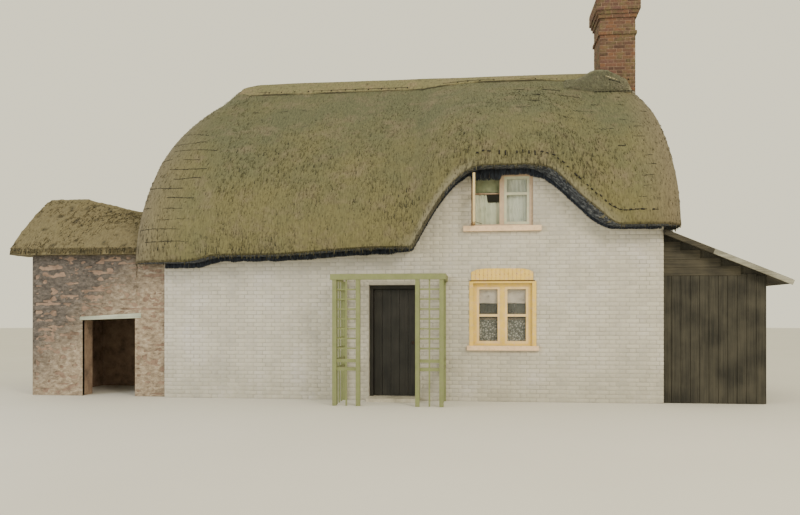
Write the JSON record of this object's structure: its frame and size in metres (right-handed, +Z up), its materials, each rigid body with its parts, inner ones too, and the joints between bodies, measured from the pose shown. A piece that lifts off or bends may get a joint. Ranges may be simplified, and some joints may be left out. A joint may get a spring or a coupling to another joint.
{
  "type": "thatched cottage",
  "caption": "Limewashed brick cottage under a hipped thatched roof, with a trellis porch, a low thatched wing and a boarded lean-to.",
  "frame": {"origin": "on the ground at the outer face of the front wall, under the doorway's step", "axes": "+X along the front towards the chimney end, +Y into the house, +Z up"},
  "size_m": [14.01, 6.73, 7.95],
  "materials": {
    "thatch": "weathered reed thatch, combed, matt",
    "ridge_thatch": "sedge ridge cap, older and greyer, matt",
    "limewash": "limewashed brick, chalky",
    "brick": "soot-darkened red brick with lime joints",
    "cob": "rough earth and rubble wall, weathered",
    "floor_brick": "brick-on-edge floor, worn",
    "boards": "tarred weatherboards",
    "floor_boards": "bare floor boards",
    "cream_paint": "old oil paint, cream",
    "yellow_paint": "old oil paint, yellow",
    "green_paint": "old oil paint, pale green",
    "grey_timber": "bleached grey oak",
    "dark_door": "dark planks",
    "glass": "old window glass",
    "linen": "washed linen",
    "green_linen": "olive green roller blind",
    "stone": "worn stone"
  },
  "bodies": {
    "house": {"thatch_front": "thatch", "thatch_back": "thatch", "thatch_left_end": "thatch", "thatch_right_end": "thatch", "thatch_ridge": "ridge_thatch", "front_wall_left": "limewash", "front_wall_over_door": "limewash", "front_wall_right": "limewash", "left_end_wall": "limewash", "right_end_wall": "limewash", "back_wall": "limewash", "ground_floor": "floor_brick", "upper_floor": "floor_boards", "chimney_breast": "limewash", "chimney_stack": "brick", "chimney_cap": "brick", "upper_window_frame": "cream_paint", "upper_window_left_leaf": "cream_paint", "upper_window_left_pane": "glass", "upper_window_right_leaf": "cream_paint", "upper_window_right_pane": "glass", "upper_window_sill": "cream_paint", "upper_window_curtain_left": "linen", "upper_window_curtain_right": "linen", "upper_window_shade": "green_linen", "lower_window_frame": "yellow_paint", "lower_window_left_leaf": "yellow_paint", "lower_window_left_pane": "glass", "lower_window_right_leaf": "yellow_paint", "lower_window_right_pane": "glass", "lower_window_surround": "yellow_paint", "lower_window_arch": "yellow_paint", "lower_window_sill": "cream_paint", "lower_window_blind": "linen", "lower_window_lace": "linen", "back_window_left_frame": "cream_paint", "back_window_left_glass": "glass", "back_window_left_sill": "cream_paint", "back_window_right_frame": "cream_paint", "back_window_right_glass": "glass", "back_window_right_sill": "cream_paint", "door_frame": "dark_door", "door_step": "stone", "porch_left_side": "green_paint", "porch_right_side": "green_paint", "porch_top": "green_paint", "wing_thatch": "thatch", "wing_end_wall": "cob", "wing_front_wall_left": "cob", "wing_front_wall_right": "cob", "wing_wall_over_opening": "cob", "wing_lintel": "grey_timber", "wing_back_wall": "cob", "lean_to_roof": "boards", "lean_to_front_wall": "boards", "lean_to_side_wall": "boards"},
    "front_door": {"front_door": "dark_door"}
  },
  "joints": [
    {"name": "front_door_hinge", "type": "hinge", "parent": "house", "child": "front_door", "pos_m": [-0.552, 0.222, 1], "axis": [0, 0, 1], "range_deg": [0, 90]}
  ]
}
